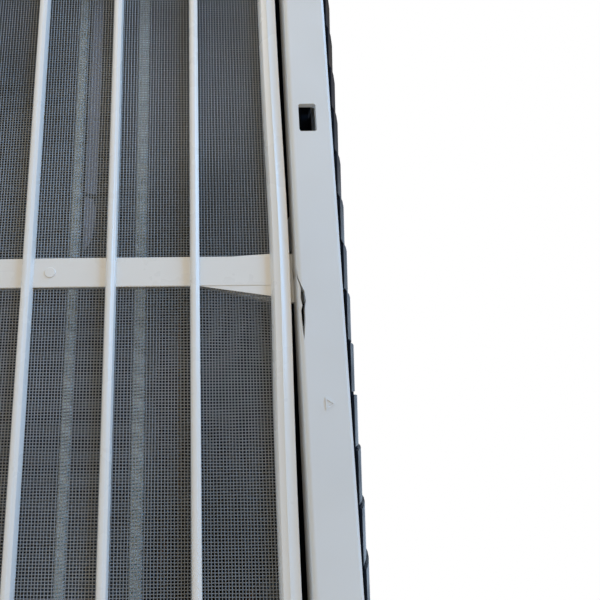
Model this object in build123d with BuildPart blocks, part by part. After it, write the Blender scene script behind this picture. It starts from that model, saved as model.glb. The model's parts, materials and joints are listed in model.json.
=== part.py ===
from build123d import *
import os
from math import acos, asin, cos, degrees, radians, sin, sqrt

# Indoor unit of a wall-hung split air conditioner, with its front panel taken off.
# X runs along the unit, Y runs from the front (negative) to the wall (0), Z is up.
# The origin is the centre of the mounting plate's rear face. Millimetres.

os.makedirs("parts", exist_ok=True)

# ---- driving dimensions ------------------------------------------------------------------
HALF_LENGTH = 400.0
FRONT_Y = -195.0          # face of the front frame's top beam
TOP_Z = 144.5
BOTTOM_Z = -143.0
SHELL = 2.5               # wall of the white mouldings
GAP = 0.5                 # running gap between neighbouring mouldings

# Filters: two trays side by side, flat above BEND_Z and curved back towards the wall below it.
FILTER_LENGTH = 315.0
FILTER_CENTRES = {"right": 112.0, "left": -212.0}
FILTER_FACE_Y = -192.5
FILTER_TOP = 112.3
FILTER_BOTTOM = -60.0
BEND_Z = 30.0
BEND_RADIUS = 810.0
RIB_PITCH = 33.3
RIB_TOP_Z = 75.9
RIB_COUNT = 4
RIB_WIDTH = 3.8
RIB_DEPTH = 4.6
RAIL_WIDTH = 7.4
RAIL_DEPTH = 4.6
RAIL_BOW = 1.2            # the soft top rail bulges by this much beside the centre strip
STRIP_WIDTH = 12.0
STRIP_THICKNESS = 1.2
END_STRIP_WIDTH = 9.0
NET_THICKNESS = 0.4

# Front frame.
BEAM_BOTTOM = 115.5
BEAM_TOP = 132.9
OPENING_BOTTOM = -62.0
LOWER_FACE_Y = -192.0
OUTLET_FRONT = (-171.0, -109.0)
OUTLET_REAR = (-105.8, -143.0)
OUTLET_END_FRONT = (-171.2, -109.0)
OUTLET_END_REAR = (-106.5, -142.3)
HOLE_WIDTH = 12.4
HOLE_HEIGHT = 7.2
HOLE_Z = 122.9
HOLE_OFFSET = -63.6       # hook holes, measured from each filter's centre strip
MARK_OFFSET = 51.9        # release marks, measured from each filter's centre strip
MARK_Z = 124.6

# Screws that hold the front frame to the drain pan.
SCREW_X = (-330.0, -50.0, 130.0)
SCREW_Z = -74.0
SCREW_RADIUS = 1.75
SCREW_HEAD_RADIUS = 3.4
SCREW_TIP_Y = -166.0
SEAT_REAR_Y = -171.6

# Air path.
FAN_CENTRE = (-88.0, -20.0)
FAN_RADIUS = 47.0
SCROLL_RADIUS = 56.0
SCROLL_END_ANGLE = -35.0
DUCT_LEFT = -383.0
DUCT_RIGHT = 262.0
FAN_LEFT = -374.0
FAN_RIGHT = 252.0
SHAFT_RADIUS = 4.0
RUNNING_FIT = 0.05
COIL_LEFT = -362.0
COIL_RIGHT = 246.0
COIL_DEPTH = 26.0
TUBE_RADIUS = 3.5
TUBE_PITCH = 20.5
ROW_OFFSET = 6.4

# Flap and vanes.
FLAP_AXIS = (-122.5, -123.0)
FLAP_PIN_RADIUS = 3.0
VANE_COUNT = 5
VANE_PITCH = 50.0
VANE_BANK_STARTS = {"left": -345.0, "right": -20.0}


def skin(inset, z):
    """A point at height z, inset behind the filters' curved front face."""
    if z >= BEND_Z:
        return (FILTER_FACE_Y + inset, z)
    radius = BEND_RADIUS - inset
    centre_y = FILTER_FACE_Y + BEND_RADIUS
    return (centre_y - sqrt(radius**2 - (BEND_Z - z) ** 2), z)


def skin_angle(z):
    """Tilt of the filters' face at height z, in degrees."""
    if z >= BEND_Z:
        return 0.0
    return degrees(asin((BEND_Z - z) / BEND_RADIUS))


def skin_band(inset, thickness, z_top, z_bottom):
    """Closed outline of a band that follows the filters' face."""
    outer = inset
    inner = inset + thickness
    z_middle = (BEND_Z + z_bottom) / 2
    with BuildLine() as line:
        Line(skin(outer, z_top), skin(outer, BEND_Z))
        ThreePointArc(skin(outer, BEND_Z), skin(outer, z_middle), skin(outer, z_bottom))
        Line(skin(outer, z_bottom), skin(inner, z_bottom))
        ThreePointArc(skin(inner, z_bottom), skin(inner, z_middle), skin(inner, BEND_Z))
        Line(skin(inner, BEND_Z), skin(inner, z_top))
        Line(skin(inner, z_top), skin(outer, z_top))
    return line.line


def save(part, name):
    """Names a finished piece and writes it."""
    part.label = name
    export_step(part, f"parts/{name}.step")


def on_circle(centre, radius, angle):
    return (centre[0] + radius * cos(radians(angle)), centre[1] + radius * sin(radians(angle)))


# ---- mounting plate ----------------------------------------------------------------------
PLATE_LENGTH = 560.0
PLATE_HEIGHT = 200.0
PLATE_THICKNESS = 1.5
PLATE_HOLE_X = 500.0
PLATE_HOLE_Z = 150.0
PLATE_HOLE_RADIUS = 2.75
WALL_REAR_Y = -10.0
WALL_FRONT_Y = -13.0
HOOK_X = 200.0
HOOK_WIDTH = 36.0
HOOK_Z = 86.0
HOOK_THICKNESS = 2.0

with BuildPart() as mounting_plate:
    with BuildSketch(Plane.XZ):
        RectangleRounded(PLATE_LENGTH, PLATE_HEIGHT, 8)
        with GridLocations(PLATE_HOLE_X, PLATE_HOLE_Z, 2, 2):
            Circle(PLATE_HOLE_RADIUS, mode=Mode.SUBTRACT)
        with GridLocations(120, 60, 4, 2):
            SlotOverall(26, 5, mode=Mode.SUBTRACT)
        with Locations((PLATE_LENGTH / 2 - 60, -PLATE_HEIGHT / 2)):
            Circle(32, mode=Mode.SUBTRACT)
    extrude(amount=PLATE_THICKNESS)
    # stiffening ribs pressed forward
    with Locations((0, -PLATE_THICKNESS - 1, 0), (0, -PLATE_THICKNESS - 1, 62)):
        Box(PLATE_LENGTH - 160, 2, 7)
    # two hooks that carry the unit
    with Locations((-HOOK_X, 0, HOOK_Z), (HOOK_X, 0, HOOK_Z)):
        Box(HOOK_WIDTH, 17, HOOK_THICKNESS, align=(Align.CENTER, Align.MAX, Align.MAX))
    with Locations((-HOOK_X, -15, HOOK_Z - 0.5), (HOOK_X, -15, HOOK_Z - 0.5)):
        Box(HOOK_WIDTH, 2, 8, align=(Align.CENTER, Align.MAX, Align.MIN))
save(mounting_plate.part, "mounting_plate")

# ---- rear chassis ------------------------------------------------------------------------
CHASSIS_HALF = HALF_LENGTH - SHELL - GAP   # the back reaches to the end caps
CHASSIS_BOTTOM = -142.8
CHASSIS_TOP = 137.6
LEFT_WALL = (DUCT_LEFT - 3, DUCT_LEFT)
RIGHT_WALL = (DUCT_RIGHT, DUCT_RIGHT + 3)
BEARING_SEAT_RADIUS = 16.0
TROUGH_Z = 16.0
SCROLL_WALL = 2.5
SCROLL_TOP_ANGLE = 40.0
PIPE_NOTCH_Z = -113.0
FLOOR_THICKNESS = 2.5
RIM_THICKNESS = 3.0


def scroll_outline():
    """Rear guide: an arc round the fan and a straight floor down to the outlet."""
    outer = SCROLL_RADIUS + SCROLL_WALL
    drop = (sin(radians(SCROLL_END_ANGLE)), -cos(radians(SCROLL_END_ANGLE)))
    inner_end = on_circle(FAN_CENTRE, SCROLL_RADIUS, SCROLL_END_ANGLE)
    outer_end = on_circle(FAN_CENTRE, outer, SCROLL_END_ANGLE)
    run_inner = (inner_end[1] - OUTLET_REAR[1] - 0.2) / -drop[1]
    run_outer = (outer_end[1] - OUTLET_REAR[1] - 0.2) / -drop[1]
    foot_inner = (inner_end[0] + drop[0] * run_inner, inner_end[1] + drop[1] * run_inner)
    foot_outer = (outer_end[0] + drop[0] * run_outer, outer_end[1] + drop[1] * run_outer)
    sweep_angle = SCROLL_TOP_ANGLE - SCROLL_END_ANGLE
    with BuildLine() as line:
        CenterArc(FAN_CENTRE, SCROLL_RADIUS, SCROLL_TOP_ANGLE, -sweep_angle)
        Line(inner_end, foot_inner)
        Line(foot_inner, foot_outer)
        Line(foot_outer, outer_end)
        CenterArc(FAN_CENTRE, outer, SCROLL_END_ANGLE, sweep_angle)
        Line(
            on_circle(FAN_CENTRE, outer, SCROLL_TOP_ANGLE),
            on_circle(FAN_CENTRE, SCROLL_RADIUS, SCROLL_TOP_ANGLE),
        )
    return line.line


with BuildPart() as rear_chassis:
    # back wall with hook slots
    with BuildSketch(Plane.XZ.offset(-WALL_REAR_Y)):
        with Locations((0, (CHASSIS_TOP + CHASSIS_BOTTOM) / 2)):
            Rectangle(2 * CHASSIS_HALF, CHASSIS_TOP - CHASSIS_BOTTOM)
        with Locations((-HOOK_X, HOOK_Z), (HOOK_X, HOOK_Z)):
            Rectangle(HOOK_WIDTH + 8, 16, align=(Align.CENTER, Align.MAX), mode=Mode.SUBTRACT)
    extrude(amount=WALL_REAR_Y - WALL_FRONT_Y)
    # rim that meets the building's wall
    with BuildSketch(Plane.XZ):
        with Locations((0, (CHASSIS_TOP + CHASSIS_BOTTOM) / 2)):
            Rectangle(2 * CHASSIS_HALF, CHASSIS_TOP - CHASSIS_BOTTOM)
            Rectangle(
                2 * (CHASSIS_HALF - RIM_THICKNESS),
                CHASSIS_TOP - CHASSIS_BOTTOM - 2 * RIM_THICKNESS,
                mode=Mode.SUBTRACT,
            )
    extrude(amount=-WALL_REAR_Y)
    # rear guide of the air path
    with BuildSketch(Plane.YZ.offset(DUCT_LEFT)):
        make_face(scroll_outline())
    extrude(amount=DUCT_RIGHT - DUCT_LEFT)
    # trough under the rear coil
    with BuildSketch(Plane.YZ.offset(DUCT_LEFT)):
        with Locations((WALL_FRONT_Y, TROUGH_Z)):
            Rectangle(36, 2.5, align=(Align.MAX, Align.MAX))
        with Locations((WALL_FRONT_Y - 34, TROUGH_Z - 1)):
            Rectangle(2.5, 15, align=(Align.MAX, Align.MIN))
    extrude(amount=DUCT_RIGHT - DUCT_LEFT)
    # bottom
    with Locations((0, WALL_FRONT_Y, CHASSIS_BOTTOM)):
        Box(2 * CHASSIS_HALF, 90, FLOOR_THICKNESS, align=(Align.CENTER, Align.MAX, Align.MIN))
    # end wall and partition, with the bearing seat and the motor's shaft hole
    for x_range, hole_radius in ((LEFT_WALL, BEARING_SEAT_RADIUS), (RIGHT_WALL, 12.0)):
        with BuildSketch(Plane.YZ.offset(x_range[0])):
            with BuildLine():
                Polyline(
                    (WALL_FRONT_Y, CHASSIS_BOTTOM),
                    (-107.0, CHASSIS_BOTTOM),
                    (-150.0, -121.0),
                    (-150.0, -66.0),
                    (-139.0, -50.0),
                    (-139.0, 40.0),
                    (WALL_FRONT_Y, 40.0),
                    close=True,
                )
            make_face()
            with Locations(FAN_CENTRE):
                Circle(hole_radius, mode=Mode.SUBTRACT)
            with Locations(FLAP_AXIS):
                Circle(FLAP_PIN_RADIUS + RUNNING_FIT, mode=Mode.SUBTRACT)
            with Locations((WALL_FRONT_Y, PIPE_NOTCH_Z)):
                Rectangle(30, 44, align=(Align.MAX, Align.CENTER), mode=Mode.SUBTRACT)
        extrude(amount=x_range[1] - x_range[0])
    # corner stiffeners behind the right partition
    with Locations((345, WALL_FRONT_Y, -95)):
        Box(70, 30, 3, align=(Align.CENTER, Align.MAX, Align.CENTER))
save(rear_chassis.part, "rear_chassis")

# ---- drain pan with the air path's front tongue ------------------------------------------
PAN_LEFT = DUCT_LEFT + 0.5
PAN_RIGHT = DUCT_RIGHT - 0.5
PAN_FRONT = -171.5
TONGUE_ANGLE = 214.0

with BuildPart() as drain_pan:
    tongue_tip = on_circle(FAN_CENTRE, FAN_RADIUS + 5, TONGUE_ANGLE)
    with BuildSketch(Plane.YZ.offset(PAN_LEFT)):
        with BuildLine():
            Polyline(
                (PAN_FRONT, -44.0),
                (PAN_FRONT, -66.0),
                (-168.5, -104.0),
                (-166.5, -102.5),
                (-146.0, -78.0),
                tongue_tip,
                (tongue_tip[0] - 1.5, tongue_tip[1] + 12),
                (tongue_tip[0] - 4, tongue_tip[1] + 12),
                (-138.5, -58.0),
                (PAN_FRONT + 2, -63.0),
                (PAN_FRONT + 2, -44.0),
                close=True,
            )
        make_face()
    extrude(amount=PAN_RIGHT - PAN_LEFT)
    with Locations((PAN_LEFT, PAN_FRONT, -66), (PAN_RIGHT - 2, PAN_FRONT, -66)):
        Box(2, 33, 16, align=(Align.MIN, Align.MIN, Align.MIN))
    with BuildSketch(Plane.XZ.offset(-SCREW_TIP_Y)):
        with Locations(*[(x, SCREW_Z) for x in SCREW_X]):
            Circle(SCREW_RADIUS)
    extrude(amount=20, mode=Mode.SUBTRACT)
save(drain_pan.part, "drain_pan")

with BuildPart() as drain_spout:
    with BuildSketch(Plane.YZ.offset(PAN_RIGHT)):
        with Locations((-160, -57)):
            Circle(7)
            Circle(5, mode=Mode.SUBTRACT)
    extrude(amount=20)
    with BuildSketch(Plane.YZ.offset(PAN_RIGHT)):
        with Locations((-160, -57)):
            Circle(8.5)
            Circle(5, mode=Mode.SUBTRACT)
    extrude(amount=3)
save(drain_spout.part, "drain_spout")

# ---- evaporator --------------------------------------------------------------------------
# Each slab is given by its centre line in the cross-section and its number of tubes a row.
SLABS = {
    "lower": ((-153.0, -47.0), (-153.0, 57.0), 5),
    "upper": ((-149.0, 70.0), (-106.0, 115.0), 3),
    "rear": ((-34.0, 40.0), (-76.0, 116.0), 4),
}


def slab_frame(start, end):
    """Midpoint, unit direction and length of a slab's centre line."""
    run = (end[0] - start[0], end[1] - start[1])
    length = sqrt(run[0] ** 2 + run[1] ** 2)
    middle = ((start[0] + end[0]) / 2, (start[1] + end[1]) / 2)
    return middle, (run[0] / length, run[1] / length), length


def tube_centres(start, end, count):
    """Two rows of tubes through a slab; the second row is half a pitch along."""
    middle, along, _ = slab_frame(start, end)
    across = (-along[1], along[0])
    rows = []
    for side, shift in ((-1, -0.25), (1, 0.25)):
        row = []
        for i in range(count):
            distance = (i - (count - 1) / 2 + shift) * TUBE_PITCH
            row.append(
                (
                    middle[0] + along[0] * distance + across[0] * side * ROW_OFFSET,
                    middle[1] + along[1] * distance + across[1] * side * ROW_OFFSET,
                )
            )
        rows.append(row)
    return rows


for slab_name, (slab_start, slab_end, slab_tubes) in SLABS.items():
    slab_middle, slab_along, slab_length = slab_frame(slab_start, slab_end)
    slab_tilt = degrees(acos(slab_along[0]))
    with BuildPart() as fin_block:
        with BuildSketch(Plane.YZ.offset(COIL_LEFT)):
            with Locations(slab_middle):
                Rectangle(slab_length, COIL_DEPTH, rotation=slab_tilt)
            for row in tube_centres(slab_start, slab_end, slab_tubes):
                with Locations(*row):
                    Circle(TUBE_RADIUS, mode=Mode.SUBTRACT)
        extrude(amount=COIL_RIGHT - COIL_LEFT)
    save(fin_block.part, f"coil_fins_{slab_name}")


def hairpin(first, second, x_bend, x_end):
    """Path of two straight tubes joined by a bend, in the plane that holds them both."""
    bend_direction = -1 if x_bend < x_end else 1
    gap = ((first[0] - second[0]) ** 2 + (first[1] - second[1]) ** 2) ** 0.5
    crown = (x_bend + bend_direction * gap / 2, (first[0] + second[0]) / 2, (first[1] + second[1]) / 2)
    with BuildLine() as path:
        Line((x_end, *first), (x_bend, *first))
        ThreePointArc((x_bend, *first), crown, (x_bend, *second))
        Line((x_bend, *second), (x_end, *second))
    return path.line


# The hairpins' bends stand out on the left; short return bends join them on the right.
with BuildPart() as coil_tubes:
    for slab_start, slab_end, slab_tubes in SLABS.values():
        near_row, far_row = tube_centres(slab_start, slab_end, slab_tubes)
        for near, far in zip(near_row, far_row):
            with BuildSketch(Plane(origin=(COIL_RIGHT + 4, *near), x_dir=(0, 1, 0), z_dir=(-1, 0, 0))):
                Circle(TUBE_RADIUS)
            sweep(path=hairpin(near, far, COIL_LEFT - 5, COIL_RIGHT + 4))
save(coil_tubes.part, "coil_tubes")

with BuildPart() as return_bends:
    for slab_start, slab_end, slab_tubes in SLABS.values():
        near_row, far_row = tube_centres(slab_start, slab_end, slab_tubes)
        for near, far in zip(near_row[1:], far_row[:-1]):
            start_plane = Plane(origin=(COIL_RIGHT + 4, *near), x_dir=(0, 1, 0), z_dir=(1, 0, 0))
            with BuildSketch(start_plane):
                Circle(TUBE_RADIUS)
            with BuildLine() as bend_path:
                reach = COIL_RIGHT + 5
                gap = ((near[0] - far[0]) ** 2 + (near[1] - far[1]) ** 2) ** 0.5
                Line((COIL_RIGHT + 4, *near), (reach, *near))
                ThreePointArc(
                    (reach, *near),
                    (reach + gap / 2, (near[0] + far[0]) / 2, (near[1] + far[1]) / 2),
                    (reach, *far),
                )
                Line((reach, *far), (COIL_RIGHT + 4, *far))
            sweep(path=bend_path.line)
save(return_bends.part, "coil_return_bends")

for side, plate_x in (("left", COIL_LEFT - 1.5), ("right", COIL_RIGHT)):
    with BuildPart() as end_plate:
        with BuildSketch(Plane.YZ.offset(plate_x)):
            for slab_start, slab_end, slab_tubes in SLABS.values():
                slab_middle, slab_along, slab_length = slab_frame(slab_start, slab_end)
                with Locations(slab_middle):
                    Rectangle(slab_length + 4, COIL_DEPTH + 2, rotation=degrees(acos(slab_along[0])))
            with BuildLine():
                Polyline((-116, 100), (-100, 122), (-72, 122), (-84, 100), close=True)
            make_face()
            for slab_start, slab_end, slab_tubes in SLABS.values():
                for row in tube_centres(slab_start, slab_end, slab_tubes):
                    with Locations(*row):
                        Circle(TUBE_RADIUS, mode=Mode.SUBTRACT)
        extrude(amount=1.5)
    save(end_plate.part, f"coil_end_plate_{side}")

# ---- cross-flow fan ----------------------------------------------------------------------
BLADE_COUNT = 32
BLADE_LENGTH = 10.0
BLADE_THICKNESS = 1.2
BLADE_PITCH_RADIUS = 40.0
BLADE_ANGLE = 28.0
RING_WIDTH = 11.5
RING_THICKNESS = 2.0
SECTION_COUNT = 8
HUB_RADIUS = 11.0

with BuildPart() as cross_flow_fan:
    with BuildSketch(Plane.YZ.offset(FAN_LEFT)):
        with Locations(FAN_CENTRE):
            with PolarLocations(BLADE_PITCH_RADIUS, BLADE_COUNT):
                SlotOverall(BLADE_LENGTH, BLADE_THICKNESS, rotation=BLADE_ANGLE)
    extrude(amount=FAN_RIGHT - FAN_LEFT)
    section = (FAN_RIGHT - FAN_LEFT - RING_THICKNESS) / SECTION_COUNT
    for i in range(SECTION_COUNT + 1):
        with BuildSketch(Plane.YZ.offset(FAN_LEFT + i * section)):
            with Locations(FAN_CENTRE):
                Circle(FAN_RADIUS)
                if 0 < i < SECTION_COUNT:
                    Circle(FAN_RADIUS - RING_WIDTH, mode=Mode.SUBTRACT)
        extrude(amount=RING_THICKNESS)
    for hub_x, hub_length in ((FAN_LEFT, 18), (FAN_RIGHT - 24, 24)):
        with BuildSketch(Plane.YZ.offset(hub_x)):
            with Locations(FAN_CENTRE):
                Circle(HUB_RADIUS)
        extrude(amount=hub_length)
    for bore_x, bore_length in ((FAN_LEFT - 1, 15), (FAN_RIGHT - 20, 21)):
        with BuildSketch(Plane.YZ.offset(bore_x)):
            with Locations(FAN_CENTRE):
                Circle(SHAFT_RADIUS)
        extrude(amount=bore_length, mode=Mode.SUBTRACT)
save(cross_flow_fan.part, "cross_flow_fan")

with BuildPart() as fan_axle:
    with BuildSketch(Plane.YZ.offset(-390)):
        with Locations(FAN_CENTRE):
            Circle(SHAFT_RADIUS)
    extrude(amount=FAN_LEFT + 14 + 390)
save(fan_axle.part, "fan_axle")

MOTOR_LEFT = 270.0
MOTOR_RIGHT = 326.0
MOTOR_RADIUS = 38.0

with BuildPart() as motor_shaft:
    with BuildSketch(Plane.YZ.offset(FAN_RIGHT - 20)):
        with Locations(FAN_CENTRE):
            Circle(SHAFT_RADIUS)
    extrude(amount=MOTOR_LEFT + 30 - FAN_RIGHT + 20)
save(motor_shaft.part, "motor_shaft")

with BuildPart() as fan_bearing:
    with BuildSketch(Plane.YZ.offset(-389)):
        with Locations(FAN_CENTRE):
            Circle(8)
            Circle(SHAFT_RADIUS + RUNNING_FIT, mode=Mode.SUBTRACT)
    extrude(amount=10)
save(fan_bearing.part, "fan_bearing")

with BuildPart() as bearing_cushion:
    with BuildSketch(Plane.YZ.offset(-389)):
        with Locations(FAN_CENTRE):
            Circle(BEARING_SEAT_RADIUS)
            Circle(8, mode=Mode.SUBTRACT)
    extrude(amount=10)
save(bearing_cushion.part, "bearing_cushion")

with BuildPart() as fan_motor:
    with BuildSketch(Plane.YZ.offset(MOTOR_LEFT)):
        with Locations(FAN_CENTRE):
            Circle(MOTOR_RADIUS)
    extrude(amount=MOTOR_RIGHT - MOTOR_LEFT)
    fillet(fan_motor.edges().filter_by(GeomType.CIRCLE), radius=6)
    for boss_x, boss_length in ((MOTOR_LEFT - 4, 5), (MOTOR_RIGHT - 1, 5)):
        with BuildSketch(Plane.YZ.offset(boss_x)):
            with Locations(FAN_CENTRE):
                Circle(14)
        extrude(amount=boss_length)
    with BuildSketch(Plane.YZ.offset(MOTOR_LEFT - 5)):
        with Locations(FAN_CENTRE):
            Circle(SHAFT_RADIUS + RUNNING_FIT)
    extrude(amount=37, mode=Mode.SUBTRACT)
save(fan_motor.part, "fan_motor")

CRADLE_LEFT = 284.0
CRADLE_WIDTH = 26.0
CRADLE_LEG = 81.0

with BuildPart() as motor_cradle:
    with BuildSketch(Plane.YZ.offset(CRADLE_LEFT)):
        with Locations(FAN_CENTRE):
            Circle(MOTOR_RADIUS + 4)
            Circle(MOTOR_RADIUS, mode=Mode.SUBTRACT)
            Rectangle(200, 60, align=(Align.CENTER, Align.MIN), mode=Mode.SUBTRACT)
        with Locations((WALL_FRONT_Y, FAN_CENTRE[1])):
            Rectangle(36, 8, align=(Align.MAX, Align.MAX))
        with Locations((FAN_CENTRE[0], CHASSIS_BOTTOM + FLOOR_THICKNESS)):
            Rectangle(20, CRADLE_LEG, align=(Align.CENTER, Align.MIN))
    extrude(amount=CRADLE_WIDTH)
save(motor_cradle.part, "motor_cradle")

with BuildPart() as motor_strap:
    with BuildSketch(Plane.YZ.offset(CRADLE_LEFT + 3)):
        with Locations(FAN_CENTRE):
            Circle(MOTOR_RADIUS + 2)
            Circle(MOTOR_RADIUS, mode=Mode.SUBTRACT)
            Rectangle(200, 60, align=(Align.CENTER, Align.MAX), mode=Mode.SUBTRACT)
        with Locations((FAN_CENTRE[0] - MOTOR_RADIUS, FAN_CENTRE[1])):
            Rectangle(12, 2, align=(Align.MAX, Align.MIN))
    extrude(amount=CRADLE_WIDTH - 6)
save(motor_strap.part, "motor_strap")

# ---- refrigerant pipes -------------------------------------------------------------------
LIQUID_RADIUS = 3.2
SUCTION_RADIUS = 4.8
PIPE_Y = -28.0
LIQUID_Z = -122.0
SUCTION_Z = -104.0
PIPE_END_X = -150.0
PIPE_BEND = 12.0
COIL_STUB_X = COIL_RIGHT + 4
lower_inlet = tube_centres(*SLABS["lower"])[0][0]
rear_outlet = tube_centres(*SLABS["rear"])[0][0]


def pipe(path_points, radius):
    """A copper pipe along straight runs joined by bends."""
    with BuildPart() as tube:
        with BuildLine() as path:
            FilletPolyline(*path_points, radius=PIPE_BEND)
        with BuildSketch(Plane(origin=path.line @ 0, z_dir=path.line % 0)):
            Circle(radius)
        sweep(path=path.line)
    return tube.part


liquid_pipe = pipe(
    [
        (COIL_STUB_X, *lower_inlet),
        (275, *lower_inlet),
        (275, lower_inlet[0], -88),
        (275, PIPE_Y, LIQUID_Z),
        (PIPE_END_X, PIPE_Y, LIQUID_Z),
    ],
    LIQUID_RADIUS,
)
save(liquid_pipe, "liquid_pipe")

suction_pipe = pipe(
    [
        (COIL_STUB_X, *rear_outlet),
        (276, *rear_outlet),
        (276, PIPE_Y, SUCTION_Z),
        (PIPE_END_X, PIPE_Y, SUCTION_Z),
    ],
    SUCTION_RADIUS,
)
save(suction_pipe, "suction_pipe")

with BuildPart() as flare_nuts:
    nut_sizes = ((LIQUID_Z, 8, LIQUID_RADIUS), (SUCTION_Z, 9, SUCTION_RADIUS))
    for nut_z, nut_radius, pipe_radius in nut_sizes:
        with BuildSketch(Plane.YZ.offset(PIPE_END_X - 12)):
            with Locations((PIPE_Y, nut_z)):
                RegularPolygon(nut_radius, 6, major_radius=False)
        extrude(amount=18)
        with BuildSketch(Plane.YZ.offset(PIPE_END_X - 12)):
            with Locations((PIPE_Y, nut_z)):
                Circle(pipe_radius)
        extrude(amount=18, mode=Mode.SUBTRACT)
save(flare_nuts.part, "flare_nuts")

with BuildPart() as pipe_insulation:
    with BuildSketch(Plane.YZ.offset(PIPE_END_X + 30)):
        with Locations((PIPE_Y, (LIQUID_Z + SUCTION_Z) / 2)):
            SlotCenterToCenter(SUCTION_Z - LIQUID_Z, 22, rotation=90)
        with Locations((PIPE_Y, LIQUID_Z)):
            Circle(LIQUID_RADIUS, mode=Mode.SUBTRACT)
        with Locations((PIPE_Y, SUCTION_Z)):
            Circle(SUCTION_RADIUS, mode=Mode.SUBTRACT)
    extrude(amount=350)
save(pipe_insulation.part, "pipe_insulation")

# ---- flap --------------------------------------------------------------------------------
FLAP_LEFT = DUCT_LEFT + 1.5
FLAP_RIGHT = DUCT_RIGHT - 1.5
FLAP_FRONT = (-169.3, -111.3)
FLAP_REAR = (-110.5, -140.8)
FLAP_THICKNESS = 2.5
FLAP_BULGE = 3.0
ARM_RADIUS = 5.5


def bowed_band(first, last, bulge, thickness):
    """Outline of a shallow curved plate between two points, bulging down and forward."""
    run = (last[0] - first[0], last[1] - first[1])
    length = sqrt(run[0] ** 2 + run[1] ** 2)
    outward = (run[1] / length, -run[0] / length)
    middle = ((first[0] + last[0]) / 2, (first[1] + last[1]) / 2)
    crown = (middle[0] + outward[0] * bulge, middle[1] + outward[1] * bulge)
    shift = (-outward[0] * thickness, -outward[1] * thickness)
    with BuildLine() as line:
        ThreePointArc(first, crown, last)
        Line(last, (last[0] + shift[0], last[1] + shift[1]))
        ThreePointArc(
            (last[0] + shift[0], last[1] + shift[1]),
            (crown[0] + shift[0], crown[1] + shift[1]),
            (first[0] + shift[0], first[1] + shift[1]),
        )
        Line((first[0] + shift[0], first[1] + shift[1]), first)
    return line.line


with BuildPart() as air_flap:
    with BuildSketch(Plane.YZ.offset(FLAP_LEFT)):
        make_face(bowed_band(FLAP_FRONT, FLAP_REAR, FLAP_BULGE, FLAP_THICKNESS))
    extrude(amount=FLAP_RIGHT - FLAP_LEFT)
    for arm_x in (FLAP_LEFT, FLAP_RIGHT - 4):
        with BuildSketch(Plane.YZ.offset(arm_x)):
            with Locations(FLAP_AXIS):
                Circle(ARM_RADIUS)
            with BuildLine():
                Polyline(
                    (FLAP_AXIS[0] - 5, FLAP_AXIS[1] + 2),
                    (-150, -121.5),
                    (-118, -138),
                    (FLAP_AXIS[0] + 5, FLAP_AXIS[1] - 2),
                    close=True,
                )
            make_face()
        extrude(amount=4)
    # stiffening rib along the inside
    with BuildSketch(Plane.YZ.offset(FLAP_LEFT)):
        with BuildLine():
            Polyline((-148, -123), (-146.4, -123.8), (-143.5, -118), (-145.1, -117.2), close=True)
        make_face()
    extrude(amount=FLAP_RIGHT - FLAP_LEFT)
    for pin_x, pin_length in ((LEFT_WALL[0], 6), (FLAP_RIGHT - 1, 14)):
        with BuildSketch(Plane.YZ.offset(pin_x)):
            with Locations(FLAP_AXIS):
                Circle(FLAP_PIN_RADIUS)
        extrude(amount=pin_length)
save(air_flap.part, "air_flap")

FLAP_MOTOR_X = RIGHT_WALL[1]
FLAP_MOTOR_OFFSET = 5.0

with BuildPart() as flap_motor:
    motor_centre = (FLAP_AXIS[0] + 2, FLAP_AXIS[1] + FLAP_MOTOR_OFFSET)
    with BuildSketch(Plane.YZ.offset(FLAP_MOTOR_X)):
        with Locations(motor_centre):
            Circle(12)
            SlotOverall(38, 8)
    extrude(amount=1)
    with BuildSketch(Plane.YZ.offset(FLAP_MOTOR_X)):
        with Locations(motor_centre):
            Circle(12)
    extrude(amount=17)
    with BuildSketch(Plane.YZ.offset(FLAP_MOTOR_X)):
        with Locations(FLAP_AXIS):
            Circle(FLAP_PIN_RADIUS + RUNNING_FIT)
    extrude(amount=12, mode=Mode.SUBTRACT)
save(flap_motor.part, "flap_motor")

# ---- vanes -------------------------------------------------------------------------------
# The duct plane lies on the rear guide's floor: its own Y runs upstream, its Z across the duct.
UPSTREAM = (-sin(radians(SCROLL_END_ANGLE)), cos(radians(SCROLL_END_ANGLE)))
ACROSS = (-UPSTREAM[1], UPSTREAM[0])
VANE_START = 28.0
VANE_END = 60.0
VANE_BOTTOM = 4.0
VANE_TOP = 40.0
VANE_THICKNESS = 1.5
PIVOT_AT = 48.0
LINK_AT = 35.0
PIVOT_RADIUS = 2.0
LINK_PIN_RADIUS = 1.5
BASE_THICKNESS = 3.0


def duct_plane(x, along=0.0, height=0.0):
    """Plane on the duct floor at x, moved upstream and across the duct."""
    origin_y = OUTLET_REAR[0] + UPSTREAM[0] * along + ACROSS[0] * height
    origin_z = OUTLET_REAR[1] + UPSTREAM[1] * along + ACROSS[1] * height
    return Plane(origin=(x, origin_y, origin_z), x_dir=(1, 0, 0), z_dir=(0, *ACROSS))


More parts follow.
